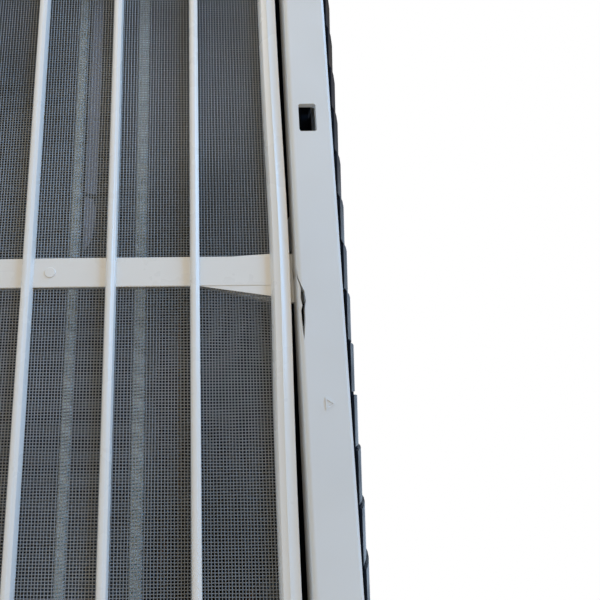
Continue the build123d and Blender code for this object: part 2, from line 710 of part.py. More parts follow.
for bank, bank_start in VANE_BANK_STARTS.items():
    bank_length = (VANE_COUNT - 1) * VANE_PITCH
    bank_middle = bank_start + bank_length / 2
    with BuildPart() as vane_base:
        with BuildSketch(duct_plane(bank_middle, PIVOT_AT)):
            RectangleRounded(bank_length + 20, 12, 3)
            with GridLocations(VANE_PITCH, 1, VANE_COUNT, 1):
                Circle(PIVOT_RADIUS + RUNNING_FIT, mode=Mode.SUBTRACT)
        extrude(amount=BASE_THICKNESS)
    save(vane_base.part, f"vane_base_{bank}")
    for i in range(VANE_COUNT):
        vane_x = bank_start + i * VANE_PITCH
        with BuildPart() as vane:
            with BuildSketch(duct_plane(vane_x, (VANE_START + VANE_END) / 2, VANE_BOTTOM)):
                SlotOverall(VANE_END - VANE_START, VANE_THICKNESS, rotation=90)
            extrude(amount=VANE_TOP - VANE_BOTTOM)
            with BuildSketch(duct_plane(vane_x, PIVOT_AT, 0.2)):
                Circle(PIVOT_RADIUS)
            extrude(amount=VANE_TOP - 6)
            with BuildSketch(duct_plane(vane_x, LINK_AT, VANE_TOP - 4)):
                Circle(LINK_PIN_RADIUS)
            extrude(amount=8)
        save(vane.part, f"vane_{bank}_{i + 1}")
    with BuildPart() as vane_link:
        with BuildSketch(duct_plane(bank_middle, LINK_AT, VANE_TOP + 0.5)):
            RectangleRounded(bank_length + 8, 6, 2)
            with GridLocations(VANE_PITCH, 1, VANE_COUNT, 1):
                Circle(LINK_PIN_RADIUS + RUNNING_FIT, mode=Mode.SUBTRACT)
        extrude(amount=2)
        with BuildSketch(duct_plane(bank_middle + VANE_PITCH / 2, LINK_AT - 5, VANE_TOP + 0.5)):
            RectangleRounded(16, 8, 2)
        extrude(amount=2)
    save(vane_link.part, f"vane_link_{bank}")

# ---- control gear at the right end -------------------------------------------------------
BOX_LEFT = 334.0
BOX_RIGHT = 384.0
BOX_FRONT = -160.0
BOX_BOTTOM = -56.0
BOX_TOP = 92.0
SHEET = 1.2

with BuildPart() as control_box:
    with Locations(((BOX_LEFT + BOX_RIGHT) / 2, WALL_FRONT_Y, (BOX_TOP + BOX_BOTTOM) / 2)):
        Box(
            BOX_RIGHT - BOX_LEFT,
            WALL_FRONT_Y - BOX_FRONT,
            BOX_TOP - BOX_BOTTOM,
            align=(Align.CENTER, Align.MAX, Align.CENTER),
        )
    offset(amount=-SHEET, openings=control_box.faces().sort_by(Axis.X)[-1])
save(control_box.part, "control_box")

with BuildPart() as control_box_cover:
    with BuildSketch(Plane.YZ.offset(BOX_RIGHT)):
        with Locations(((WALL_FRONT_Y + BOX_FRONT) / 2, (BOX_TOP + BOX_BOTTOM) / 2)):
            Rectangle(WALL_FRONT_Y - BOX_FRONT, BOX_TOP - BOX_BOTTOM)
            with GridLocations(8, 60, 12, 2):
                SlotOverall(24, 3, rotation=90, mode=Mode.SUBTRACT)
    extrude(amount=SHEET)
save(control_box_cover.part, "control_box_cover")

BOARD_X = BOX_LEFT + 7
BOARD_MIDDLE = (-86.0, 18.0)
with BuildPart() as circuit_board:
    with BuildSketch(Plane.YZ.offset(BOARD_X)):
        with Locations(BOARD_MIDDLE):
            RectangleRounded(126, 126, 2)
    extrude(amount=1.6)
    with BuildSketch(Plane.YZ.offset(BOX_LEFT + SHEET)):
        with Locations(BOARD_MIDDLE):
            with GridLocations(112, 112, 2, 2):
                Circle(3)
    extrude(amount=BOARD_X - BOX_LEFT - SHEET)
save(circuit_board.part, "circuit_board")

with BuildPart() as board_components:
    # capacitors, relays, transformer and a heat sink
    for y, z, radius, height in ((-130, 55, 9, 24), (-108, 58, 6, 18), (-128, 30, 5, 14)):
        with BuildSketch(Plane.YZ.offset(BOARD_X + 1.6)):
            with Locations((y, z)):
                Circle(radius)
        extrude(amount=height)
    for y, z, width, height, depth in (
        (-50, 55, 28, 24, 22),
        (-84, 52, 18, 22, 16),
        (-60, 0, 14, 40, 20),
        (-95, 8, 24, 24, 3),
        (-120, -18, 20, 15, 15),
        (-88, -24, 20, 15, 15),
    ):
        with BuildSketch(Plane.YZ.offset(BOARD_X + 1.6)):
            with Locations((y, z)):
                Rectangle(width, height)
        extrude(amount=depth)
save(board_components.part, "board_components")

TERMINAL_Z = 40.0
with BuildPart() as terminal_block:
    with BuildSketch(Plane.XZ.offset(-BOX_FRONT)):
        with Locations(((BOX_LEFT + BOX_RIGHT) / 2, TERMINAL_Z)):
            Rectangle(22, 62)
    extrude(amount=10)
    with BuildSketch(Plane.XZ.offset(-BOX_FRONT + 10)):
        with Locations(((BOX_LEFT + BOX_RIGHT) / 2, TERMINAL_Z)):
            with GridLocations(1, 12, 1, 6):
                Rectangle(22, 2)
    extrude(amount=5)
save(terminal_block.part, "terminal_block")

with BuildPart() as terminal_screws:
    with BuildSketch(Plane.XZ.offset(-BOX_FRONT + 10)):
        with Locations(((BOX_LEFT + BOX_RIGHT) / 2, TERMINAL_Z)):
            with GridLocations(11, 12, 2, 5):
                Circle(3)
    extrude(amount=2.2)
    with BuildSketch(Plane.XZ.offset(-BOX_FRONT + 12.2)):
        with Locations(((BOX_LEFT + BOX_RIGHT) / 2, TERMINAL_Z)):
            with GridLocations(11, 12, 2, 5):
                Rectangle(4.6, 0.8)
                Rectangle(0.8, 4.6)
    extrude(amount=-1, mode=Mode.SUBTRACT)
save(terminal_screws.part, "terminal_screws")

# ---- top grille --------------------------------------------------------------------------
SLAT_PITCH = 20.0
SLAT_WIDTH = 18.6
SLAT_FALL = 2.5           # each louvre falls by this angle towards +X
SLAT_THICKNESS = 1.8
SLAT_COUNT = 38
SLAT_START = -378.9       # left edge of the first louvre
GRILLE_LEFT = -396.0
GRILLE_RIGHT = 396.0
GRILLE_BAR_PLACES = (
    (-183, 135.1), (-158, 139.8), (-120, 139.8), (-82, 139.8), (-44, 139.8), (-8, 139.8),
)
GRILLE_FRONT = (-190.5, 135.5)
GRILLE_SHOULDER = (-175.0, 141.6)
GRILLE_CREST = (-146.0, TOP_Z)
GRILLE_REAR_Y = -6.0
WEB_Y = -62.0
WEB_Z = 140.6
WEB_WIDTH = 34.0


def grille_band(thickness):
    """Outline of a band that follows the top of the unit."""
    crest_y, crest_z = GRILLE_CREST
    inner_front = (GRILLE_FRONT[0] + 2.2, GRILLE_FRONT[1] - 0.2)
    with BuildLine() as line:
        ThreePointArc(GRILLE_FRONT, GRILLE_SHOULDER, GRILLE_CREST)
        Line(GRILLE_CREST, (GRILLE_REAR_Y, crest_z))
        Line((GRILLE_REAR_Y, crest_z), (GRILLE_REAR_Y, crest_z - thickness))
        Line((GRILLE_REAR_Y, crest_z - thickness), (crest_y, crest_z - thickness))
        ThreePointArc(
            (crest_y, crest_z - thickness),
            (GRILLE_SHOULDER[0] + 0.6, GRILLE_SHOULDER[1] - thickness),
            inner_front,
        )
        Line(inner_front, GRILLE_FRONT)
    return line.line


with BuildPart() as top_grille:
    for i in range(SLAT_COUNT):
        slat_x = SLAT_START + i * SLAT_PITCH
        with BuildSketch(Plane.YZ.offset(slat_x)):
            make_face(grille_band(SLAT_THICKNESS))
        extrude(amount=SLAT_WIDTH, dir=(cos(radians(SLAT_FALL)), 0, -sin(radians(SLAT_FALL))))
    # bars that carry the louvres
    for bar_y, bar_z in GRILLE_BAR_PLACES:
        with Locations((0, bar_y, bar_z)):
            Box(GRILLE_RIGHT - GRILLE_LEFT - 2, 3, 4.4)
    # wide web that closes the view through the louvres above the coil
    with Locations((0, WEB_Y, WEB_Z)):
        Box(GRILLE_RIGHT - GRILLE_LEFT - 2, WEB_WIDTH, 2.2)
    # closed ends
    for end_x, end_width in ((GRILLE_LEFT, 14), (GRILLE_RIGHT - 14, 14)):
        with BuildSketch(Plane.YZ.offset(end_x)):
            make_face(grille_band(5))
        extrude(amount=end_width)
save(top_grille.part, "top_grille")

# ---- front frame -------------------------------------------------------------------------
CAP_TOP = 145.0
CAP_REAR_Y = -2.0
CAP_INNER = HALF_LENGTH - SHELL
OPENING_LEFT = FILTER_CENTRES["left"] - FILTER_LENGTH / 2 - GAP
OPENING_RIGHT = FILTER_CENTRES["right"] + FILTER_LENGTH / 2 + GAP
LIP_DEPTH = 10.0
RETURN_DEPTH = 22.8
BEAM_REAR_Y = -172.0
BAR_INSET = 6.0
BAR_THICKNESS = 3.5
BAR_WIDTH = 11.0
LOWER_BEND_Z = -86.0
LOWER_REACH = OUTLET_FRONT[0] - LOWER_FACE_Y
LOWER_DROP = LOWER_BEND_Z - OUTLET_FRONT[1]
LOWER_RADIUS = (LOWER_REACH**2 + LOWER_DROP**2) / (2 * LOWER_REACH)
WINDOW = (195.0, -76.0, 60.0, 11.0)         # display window: centre x and z, width, height
TERMINAL_WINDOW = (359.0, 40.0, 46.0, 70.0)  # terminal cover: centre x and z, width, height

# A crack where the beam's lip meets its face, beside the right filter's centre strip.
# Pairs are distances from the strip and from the beam's lower edge.
CRACK_UPPER = (
    (-4.3, -0.5), (4.8, 0.5), (7.6, 1.4), (9.7, 2.4),
    (13.6, 2.8), (16.6, 2.3), (20.8, 2.2), (28.5, 1.4),
)
CRACK_LOWER = (
    (25.4, 1.1), (20.8, 0.9), (17.2, 0.8), (15.3, 1.3),
    (12.4, 0.8), (9.1, 1.0), (7.3, 0.8), (4.6, 0.1),
)


with BuildPart() as front_frame:
    # top beam: a channel whose lower lip is rounded
    with BuildSketch(Plane.YZ.offset(-CAP_INNER)) as beam_profile:
        with BuildLine():
            Polyline(
                (FRONT_Y, BEAM_BOTTOM),
                (FRONT_Y, BEAM_TOP - 1.2),
                (FRONT_Y + 1.0, BEAM_TOP),
                (BEAM_REAR_Y, BEAM_TOP),
                (BEAM_REAR_Y, BEAM_TOP - SHELL),
                (FRONT_Y + SHELL, BEAM_TOP - SHELL),
                (FRONT_Y + SHELL, BEAM_BOTTOM + 2),
                (FRONT_Y + LIP_DEPTH, BEAM_BOTTOM + 2),
                (FRONT_Y + LIP_DEPTH, BEAM_BOTTOM),
                close=True,
            )
        make_face()
        lip_corner = beam_profile.vertices().sort_by_distance((FRONT_Y, BEAM_BOTTOM, 0))[0]
        fillet(lip_corner, radius=1.8)
    extrude(amount=2 * CAP_INNER)
    # hook holes of the front panel
    with BuildSketch(Plane.XZ.offset(-FRONT_Y - SHELL - 1)):
        with Locations(*[(x + HOLE_OFFSET, HOLE_Z) for x in FILTER_CENTRES.values()]):
            RectangleRounded(HOLE_WIDTH, HOLE_HEIGHT, 1.0)
    extrude(amount=SHELL + 2, mode=Mode.SUBTRACT)
    # raised release marks
    with BuildSketch(Plane.XZ.offset(-FRONT_Y)):
        with Locations(*[(x + MARK_OFFSET, MARK_Z) for x in FILTER_CENTRES.values()]):
            Triangle(a=4.6, b=4.2, c=4.2)
            Triangle(a=3.0, b=2.75, c=2.75, mode=Mode.SUBTRACT)
    extrude(amount=0.35)
    # catches behind the lip
    for centre_x in FILTER_CENTRES.values():
        with Locations((centre_x - 17, FRONT_Y + LIP_DEPTH, BEAM_BOTTOM)):
            Box(15, 9, 2, align=(Align.CENTER, Align.MIN, Align.MIN))
    # lower front, rounded under towards the outlet
    with BuildSketch(Plane.YZ.offset(-CAP_INNER)):
        bend = (LOWER_FACE_Y + LOWER_RADIUS, LOWER_BEND_Z)
        outer_radius = LOWER_RADIUS
        inner_radius = LOWER_RADIUS - SHELL
        end_angle = -degrees(acos((OUTLET_FRONT[0] - bend[0]) / outer_radius))
        with BuildLine():
            Line((LOWER_FACE_Y, OPENING_BOTTOM), (LOWER_FACE_Y, LOWER_BEND_Z))
            CenterArc(bend, outer_radius, 180, end_angle + 180)
            Line(on_circle(bend, outer_radius, end_angle), on_circle(bend, inner_radius, end_angle))
            CenterArc(bend, inner_radius, end_angle, -end_angle - 180)
            Polyline(
                (LOWER_FACE_Y + SHELL, LOWER_BEND_Z),
                (LOWER_FACE_Y + SHELL, OPENING_BOTTOM - SHELL),
                (-176.5, OPENING_BOTTOM - SHELL),
                (-176.5, OPENING_BOTTOM),
                (LOWER_FACE_Y, OPENING_BOTTOM),
            )
        make_face()
    extrude(amount=2 * CAP_INNER)
    # closed ends of the outlet, beside the flap
    outlet_ends = ((-CAP_INNER, LEFT_WALL[0] - GAP), (RIGHT_WALL[1] + GAP, CAP_INNER))
    for cover_left, cover_right in outlet_ends:
        with BuildSketch(Plane.YZ.offset(cover_left)):
            make_face(bowed_band(OUTLET_END_FRONT, OUTLET_END_REAR, FLAP_BULGE, 2.0))
        extrude(amount=cover_right - cover_left)
    # covers at the left and right of the filters, with return walls
    for cover_left, cover_right, wall_x in (
        (-CAP_INNER, OPENING_LEFT, OPENING_LEFT - 2),
        (OPENING_RIGHT, CAP_INNER, OPENING_RIGHT),
    ):
        with Locations(((cover_left + cover_right) / 2, FRONT_Y, OPENING_BOTTOM - SHELL)):
            Box(
                cover_right - cover_left,
                SHELL,
                BEAM_BOTTOM + 2 - OPENING_BOTTOM + SHELL,
                align=(Align.CENTER, Align.MIN, Align.MIN),
            )
        with Locations((wall_x, FRONT_Y, OPENING_BOTTOM - SHELL)):
            Box(
                2,
                RETURN_DEPTH,
                BEAM_BOTTOM + 2 - OPENING_BOTTOM + SHELL,
                align=(Align.MIN, Align.MIN, Align.MIN),
            )
    # mullion between the filters and bars behind their centre strips
    mullion_x = (FILTER_CENTRES["left"] + FILTER_CENTRES["right"]) / 2
    mullion_width = FILTER_CENTRES["right"] - FILTER_CENTRES["left"] - FILTER_LENGTH - 2 * GAP
    with BuildSketch(Plane.YZ.offset(mullion_x - mullion_width / 2)):
        make_face(skin_band(-1.5, 11.0, BEAM_BOTTOM + 1, OPENING_BOTTOM - 1))
    extrude(amount=mullion_width)
    with Locations((mullion_x, FRONT_Y + 2, BEAM_BOTTOM)):
        Box(mullion_width, 17, 2, align=(Align.CENTER, Align.MIN, Align.MIN))
    for centre_x in FILTER_CENTRES.values():
        with BuildSketch(Plane.YZ.offset(centre_x - BAR_WIDTH / 2)):
            make_face(skin_band(BAR_INSET, BAR_THICKNESS, BEAM_TOP - 1, OPENING_BOTTOM - 2))
        extrude(amount=BAR_WIDTH)
        with BuildSketch(Plane.XZ.offset(-FILTER_FACE_Y - BAR_INSET)):
            with BuildLine():
                Polyline(
                    (centre_x - BAR_WIDTH / 2, 78),
                    (centre_x - 7.5, 108),
                    (centre_x - 7.5, BEAM_TOP - 1),
                    (centre_x + 12.5, BEAM_TOP - 1),
                    (centre_x + 12.5, 108),
                    (centre_x + BAR_WIDTH / 2, 78),
                    close=True,
                )
            make_face()
        extrude(amount=-BAR_THICKNESS)
    # end caps
    for cap_x in (-HALF_LENGTH, CAP_INNER):
        with BuildSketch(Plane.YZ.offset(cap_x)):
            with BuildLine():
                Polyline(
                    (CAP_REAR_Y, CAP_TOP),
                    (CAP_REAR_Y, BOTTOM_Z + 18),
                    (-48, BOTTOM_Z + 18),
                    (-48, BOTTOM_Z),
                    OUTLET_REAR,
                    OUTLET_FRONT,
                )
                CenterArc(bend, outer_radius, end_angle, -end_angle - 180)
                Polyline(
                    (LOWER_FACE_Y, LOWER_BEND_Z),
                    (LOWER_FACE_Y, OPENING_BOTTOM - SHELL),
                    (FRONT_Y, OPENING_BOTTOM - SHELL),
                    (FRONT_Y, BEAM_TOP - 1.2),
                    (FRONT_Y + 1.2, BEAM_TOP + 0.6),
                    (GRILLE_FRONT[0], GRILLE_FRONT[1] + 0.5),
                )
                ThreePointArc(
                    (GRILLE_FRONT[0], GRILLE_FRONT[1] + 0.5),
                    (GRILLE_SHOULDER[0], GRILLE_SHOULDER[1] + 0.5),
                    (GRILLE_CREST[0], CAP_TOP),
                )
                Line((GRILLE_CREST[0], CAP_TOP), (CAP_REAR_Y, CAP_TOP))
            make_face()
        extrude(amount=SHELL)
    # screw seats
    with BuildSketch(Plane.XZ.offset(-SEAT_REAR_Y)):
        with Locations(*[(x, SCREW_Z) for x in SCREW_X]):
            Circle(SCREW_HEAD_RADIUS + 2)
    extrude(amount=SEAT_REAR_Y - LOWER_FACE_Y)
    with BuildSketch(Plane.XZ.offset(-SEAT_REAR_Y - 1)):
        with Locations(*[(x, SCREW_Z) for x in SCREW_X]):
            Circle(SCREW_RADIUS)
    extrude(amount=20, mode=Mode.SUBTRACT)
    with BuildSketch(Plane.XZ.offset(-LOWER_FACE_Y - 1.5)):
        with Locations(*[(x, SCREW_Z) for x in SCREW_X]):
            Circle(SCREW_HEAD_RADIUS + 0.3)
    extrude(amount=3, mode=Mode.SUBTRACT)
    # windows for the display and the terminal cover
    for window_x, window_z, window_width, window_height in (WINDOW, TERMINAL_WINDOW):
        with BuildSketch(Plane.XZ.offset(185)):
            with Locations((window_x, window_z)):
                RectangleRounded(window_width, window_height, 2)
        extrude(amount=12, mode=Mode.SUBTRACT)
    # crack in the lip
    with BuildSketch(Plane.XZ.offset(-FRONT_Y - LIP_DEPTH - 1)):
        with BuildLine():
            crack_points = [
                (FILTER_CENTRES["right"] + x, BEAM_BOTTOM + z) for x, z in CRACK_UPPER + CRACK_LOWER
            ]
            Polyline(*crack_points, close=True)
        make_face()
    extrude(amount=LIP_DEPTH + 2, mode=Mode.SUBTRACT)
save(front_frame.part, "front_frame")

with BuildPart() as terminal_cover:
    window_x, window_z, window_width, window_height = TERMINAL_WINDOW
    with BuildSketch(Plane.XZ.offset(-FRONT_Y - SHELL)):
        with Locations((window_x, window_z)):
            RectangleRounded(window_width - 0.6, window_height - 0.6, 1.7)
    extrude(amount=SHELL)
    with BuildSketch(Plane.XZ.offset(-FRONT_Y)):
        with Locations((window_x, window_z + window_height / 2 - 9)):
            SlotOverall(26, 5)
    extrude(amount=-1.2, mode=Mode.SUBTRACT)
save(terminal_cover.part, "terminal_cover")

with BuildPart() as display_window:
    window_x, window_z, window_width, window_height = WINDOW
    with BuildSketch(Plane.XZ.offset(-LOWER_FACE_Y - SHELL)):
        with Locations((window_x, window_z)):
            RectangleRounded(window_width, window_height, 2)
    extrude(amount=SHELL)
save(display_window.part, "display_window")

with BuildPart() as display_board:
    with BuildSketch(Plane.XZ.offset(-LOWER_FACE_Y - SHELL - 3.6)):
        with Locations(WINDOW[:2]):
            Rectangle(84, 15)
    extrude(amount=1.6)
    with BuildSketch(Plane.XZ.offset(-LOWER_FACE_Y - SHELL - 2)):
        with Locations(WINDOW[:2]):
            with GridLocations(14, 1, 4, 1):
                Rectangle(8, 6)
            with GridLocations(76, 1, 2, 1):
                Circle(2)
    extrude(amount=2)
save(display_board.part, "display_board")

with BuildPart() as frame_screws:
    with BuildSketch(Plane.XZ.offset(-LOWER_FACE_Y - 1.5)):
        with Locations(*[(x, SCREW_Z) for x in SCREW_X]):
            Circle(SCREW_HEAD_RADIUS)
    extrude(amount=1.3)
    with BuildSketch(Plane.XZ.offset(-SCREW_TIP_Y)):
        with Locations(*[(x, SCREW_Z) for x in SCREW_X]):
            Circle(SCREW_RADIUS)
    extrude(amount=-LOWER_FACE_Y + SCREW_TIP_Y - 1)
    with BuildSketch(Plane.XZ.offset(-LOWER_FACE_Y)):
        with Locations(*[(x, SCREW_Z) for x in SCREW_X]):
            Rectangle(4, 0.8)
            Rectangle(0.8, 4)
    extrude(amount=-1, mode=Mode.SUBTRACT)
save(frame_screws.part, "frame_screws")

# ---- temperature sensor on the coil ------------------------------------------------------
SENSOR_Y = -173.0
with BuildPart() as room_sensor:
    with BuildSketch(Plane.XY.offset(20)):
        with Locations((COIL_RIGHT + 8, SENSOR_Y)):
            Circle(2.5)
    extrude(amount=22)
    fillet(room_sensor.edges().filter_by(GeomType.CIRCLE), radius=1.2)
save(room_sensor.part, "room_sensor")

with BuildPart() as sensor_clip:
    with BuildSketch(Plane.XY.offset(26)):
        with Locations((COIL_RIGHT + 8, SENSOR_Y)):
            Circle(4)
            Circle(2.5, mode=Mode.SUBTRACT)
        with Locations((COIL_RIGHT + 1.5, SENSOR_Y)):
            Rectangle(3, 6, align=(Align.MIN, Align.CENTER))
        with Locations((COIL_RIGHT + 1.5, SENSOR_Y - 1)):
            Rectangle(1.5, 9, align=(Align.MIN, Align.MIN))
        with Locations((COIL_RIGHT + 8, SENSOR_Y)):
            Circle(2.5, mode=Mode.SUBTRACT)
    extrude(amount=8)
save(sensor_clip.part, "sensor_clip")

# ---- filters -----------------------------------------------------------------------------
STUD_Z = 18.1
STUD_RADIUS = 2.0
TAB_OFFSET = 80.0
BOTTOM_RAIL_Z = FILTER_BOTTOM + 2.5


def rail_edge(centre_x, z):
    """Long edge of the soft top rail, which bulges upwards beside the centre strip."""
    half = FILTER_LENGTH / 2
    return [
        (centre_x - half, z),
        (centre_x - half / 2, z + 0.2 * RAIL_BOW),
        (centre_x - 8, z + RAIL_BOW),
        (centre_x + half / 3, z + 0.1 * RAIL_BOW),
        (centre_x + half, z),
    ]


for side, centre_x in FILTER_CENTRES.items():
    filter_left_x = centre_x - FILTER_LENGTH / 2
    with BuildPart() as filter_frame:
        # soft top rail
        with BuildSketch(Plane.XZ.offset(-FILTER_FACE_Y - RAIL_DEPTH)):
            top_points = rail_edge(centre_x, FILTER_TOP)
            bottom_points = rail_edge(centre_x, FILTER_TOP - RAIL_WIDTH)
            with BuildLine():
                Spline(*top_points)
                Line(top_points[-1], bottom_points[-1])
                Spline(*bottom_points)
                Line(bottom_points[0], top_points[0])
            make_face()
        extrude(amount=RAIL_DEPTH)
        rail_edges = filter_frame.faces().sort_by(Axis.Y)[0].edges()
        chamfer(rail_edges.sort_by(SortBy.LENGTH)[-2:], length=0.8)
        # ribs
        rib_heights = [RIB_TOP_Z - i * RIB_PITCH for i in range(RIB_COUNT)]
        for rib_z, rib_width in [(z, RIB_WIDTH) for z in rib_heights] + [(BOTTOM_RAIL_Z, 5.0)]:
            with BuildSketch(Plane.YZ.offset(filter_left_x + 1)):
                with Locations(skin(RIB_DEPTH / 2, rib_z)):
                    RectangleRounded(RIB_DEPTH, rib_width, 1.2, rotation=skin_angle(rib_z))
            extrude(amount=FILTER_LENGTH - 2)
        # flat centre and end strips behind the ribs
        strips = (
            (centre_x - STRIP_WIDTH / 2, STRIP_WIDTH),
            (filter_left_x, END_STRIP_WIDTH),
            (filter_left_x + FILTER_LENGTH - END_STRIP_WIDTH, END_STRIP_WIDTH),
        )
        for strip_x, strip_width in strips:
            with BuildSketch(Plane.YZ.offset(strip_x)):
                strip_inset = RIB_DEPTH - STRIP_THICKNESS
                make_face(skin_band(strip_inset, STRIP_THICKNESS, FILTER_TOP - 3, FILTER_BOTTOM + 1))
            extrude(amount=strip_width)
        # raised side borders
        for border_x in (filter_left_x, filter_left_x + FILTER_LENGTH - 3):
            with BuildSketch(Plane.YZ.offset(border_x)):
                make_face(skin_band(0.4, RIB_DEPTH - 0.4, FILTER_TOP - 2, FILTER_BOTTOM))
            extrude(amount=3)
        # small moulding stud on the centre strip
        stud_y, stud_z = skin(RIB_DEPTH - STRIP_THICKNESS + 0.4, STUD_Z)
        with BuildSketch(Plane.XZ.offset(-stud_y)):
            with Locations((centre_x, stud_z)):
                Circle(STUD_RADIUS)
        extrude(amount=1.0)
        # finger tabs at the lower edge
        tab_y, tab_z = skin(2.0, BOTTOM_RAIL_Z)
        for tab_x in (centre_x - TAB_OFFSET, centre_x + TAB_OFFSET):
            with Locations((tab_x, tab_y, tab_z)):
                Box(24, 9.3, 2.2, align=(Align.CENTER, Align.MAX, Align.MAX))
    save(filter_frame.part, f"filter_{side}_frame")
    with BuildPart() as filter_net:
        with BuildSketch(Plane.YZ.offset(filter_left_x + 2)):
            make_face(skin_band(RIB_DEPTH, NET_THICKNESS, FILTER_TOP - 2, FILTER_BOTTOM + 1))
        extrude(amount=FILTER_LENGTH - 4)
    save(filter_net.part, f"filter_{side}_net")
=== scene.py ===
import json
import math

import bmesh
import bpy
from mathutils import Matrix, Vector


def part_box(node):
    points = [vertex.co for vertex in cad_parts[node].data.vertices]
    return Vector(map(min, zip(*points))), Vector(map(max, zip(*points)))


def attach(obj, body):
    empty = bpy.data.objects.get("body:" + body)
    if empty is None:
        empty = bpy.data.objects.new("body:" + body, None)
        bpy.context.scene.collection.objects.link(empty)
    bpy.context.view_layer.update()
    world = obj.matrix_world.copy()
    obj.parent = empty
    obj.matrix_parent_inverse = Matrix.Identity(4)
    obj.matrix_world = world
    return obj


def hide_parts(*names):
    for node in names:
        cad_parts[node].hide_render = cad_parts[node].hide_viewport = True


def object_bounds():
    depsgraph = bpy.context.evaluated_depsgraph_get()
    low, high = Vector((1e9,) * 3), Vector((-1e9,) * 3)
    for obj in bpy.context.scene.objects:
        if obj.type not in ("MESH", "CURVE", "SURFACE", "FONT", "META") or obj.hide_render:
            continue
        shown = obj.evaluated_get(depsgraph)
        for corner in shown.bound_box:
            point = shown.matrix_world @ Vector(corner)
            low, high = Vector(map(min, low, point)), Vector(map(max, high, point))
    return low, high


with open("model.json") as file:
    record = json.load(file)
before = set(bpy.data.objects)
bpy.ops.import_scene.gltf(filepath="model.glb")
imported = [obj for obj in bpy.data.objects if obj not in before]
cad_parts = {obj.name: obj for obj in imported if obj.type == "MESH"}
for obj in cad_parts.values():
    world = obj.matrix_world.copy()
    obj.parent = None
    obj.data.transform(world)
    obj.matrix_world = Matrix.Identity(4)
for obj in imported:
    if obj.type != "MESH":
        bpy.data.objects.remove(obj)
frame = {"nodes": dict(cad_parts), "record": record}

# Indoor unit of a wall-hung air conditioner with its front panel off. Metres, in the CAD's frame:
# X along the unit, +Y into the wall, Z up. Sizes are kept in millimetres and scaled by MM.
MM = 0.001
CAD_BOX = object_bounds()
SIDES = ("left", "right")


# ---- places, from the frame ----------------------------------------------------------------
def box_mm(node):
    """Lowest and highest corner of a CAD node, in millimetres."""
    low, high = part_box(node)
    return [v / MM for v in low], [v / MM for v in high]


# The filters' face: flat above BEND_Z, then curved back on a large radius.
BEND_Z = 30.0
BEND_RADIUS = 810.0
RIB_DEPTH = 4.6
RAIL_WIDTH = 7.4
RAIL_BOW = 1.2
RIB_PITCH = 33.3
RIB_COUNT = 4
RIB_TOP_Z = 75.9
STRIP_WIDTH = 12.0
STRIP_THICKNESS = 1.2
END_STRIP_WIDTH = 9.0
FILTERS = {side: box_mm(f"filter_{side}_frame") for side in SIDES}
FACE_Y = -192.5
RAIL_TOP_Z = 112.3


def skin_y(inset, z):
    """Depth of the filters' face at height z, moved in by inset."""
    if z >= BEND_Z:
        return FACE_Y + inset
    radius = BEND_RADIUS - inset
    return FACE_Y + BEND_RADIUS - math.sqrt(radius**2 - (BEND_Z - z) ** 2)


def centre_x(side):
    low, high = FILTERS[side]
    return (low[0] + high[0]) / 2


# ---- mesh helpers --------------------------------------------------------------------------
def loft(rings):
    """Vertices and faces of closed rings joined in order, capped at both ends."""
    verts = [point for ring in rings for point in ring]
    count = len(rings[0])
    faces = []
    for i in range(len(rings) - 1):
        a = i * count
        b = a + count
        for k in range(count):
            n = (k + 1) % count
            faces.append((a + k, a + n, b + n, b + k))
    faces.append(tuple(reversed(range(count))))
    faces.append(tuple(range(len(verts) - count, len(verts))))
    return verts, faces


def fix_winding(mesh):
    """Turns every face outwards."""
    work = bmesh.new()
    work.from_mesh(mesh)
    bmesh.ops.recalc_face_normals(work, faces=work.faces)
    work.to_mesh(mesh)
    work.free()


def make_piece(name, shells, body, material, sharp=35.0):
    """One object from a list of (verts, faces) shells in millimetres."""
    verts, faces = [], []
    for shell_verts, shell_faces in shells:
        base = len(verts)
        verts += [(x * MM, y * MM, z * MM) for x, y, z in shell_verts]
        faces += [tuple(i + base for i in face) for face in shell_faces]
    mesh = bpy.data.meshes.new(name)
    mesh.from_pydata(verts, [], faces)
    mesh.validate()
    mesh.shade_smooth()
    mesh.set_sharp_from_angle(angle=math.radians(sharp))
    mesh.materials.append(material)
    piece = bpy.data.objects.new(name, mesh)
    bpy.context.scene.collection.objects.link(piece)
    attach(piece, body)
    fix_winding(mesh)
    return piece


# ---- materials -----------------------------------------------------------------------------
def new_material(name):
    material = bpy.data.materials.new(name)
    material.use_nodes = True
    tree = material.node_tree
    return material, tree, tree.nodes["Principled BSDF"]


def noise(tree, scale, detail=3.0, stretch=(1, 1, 1)):
    """A noise texture on object coordinates; scale is in cycles a metre."""
    coords = tree.nodes.new("ShaderNodeTexCoord")
    mapping = tree.nodes.new("ShaderNodeMapping")
    mapping.inputs["Scale"].default_value = stretch
    texture = tree.nodes.new("ShaderNodeTexNoise")
    texture.inputs["Scale"].default_value = scale
    texture.inputs["Detail"].default_value = detail
    tree.links.new(coords.outputs["Object"], mapping.inputs["Vector"])
    tree.links.new(mapping.outputs["Vector"], texture.inputs["Vector"])
    return texture.outputs["Fac"]


def ramp(tree, source, low, high, start=0.35, end=0.65):
    """Colour or grey ramp between two values."""
    node = tree.nodes.new("ShaderNodeValToRGB")
    node.color_ramp.elements[0].position = start
    node.color_ramp.elements[1].position = end
    node.color_ramp.elements[0].color = (*low, 1)
    node.color_ramp.elements[1].color = (*high, 1)
    tree.links.new(source, node.inputs["Fac"])
    return node.outputs["Color"]


def bump(tree, shader, source, strength, distance):
    node = tree.nodes.new("ShaderNodeBump")
    node.inputs["Strength"].default_value = strength
    node.inputs["Distance"].default_value = distance
    tree.links.new(source, node.inputs["Height"])
    tree.links.new(node.outputs["Normal"], shader.inputs["Normal"])


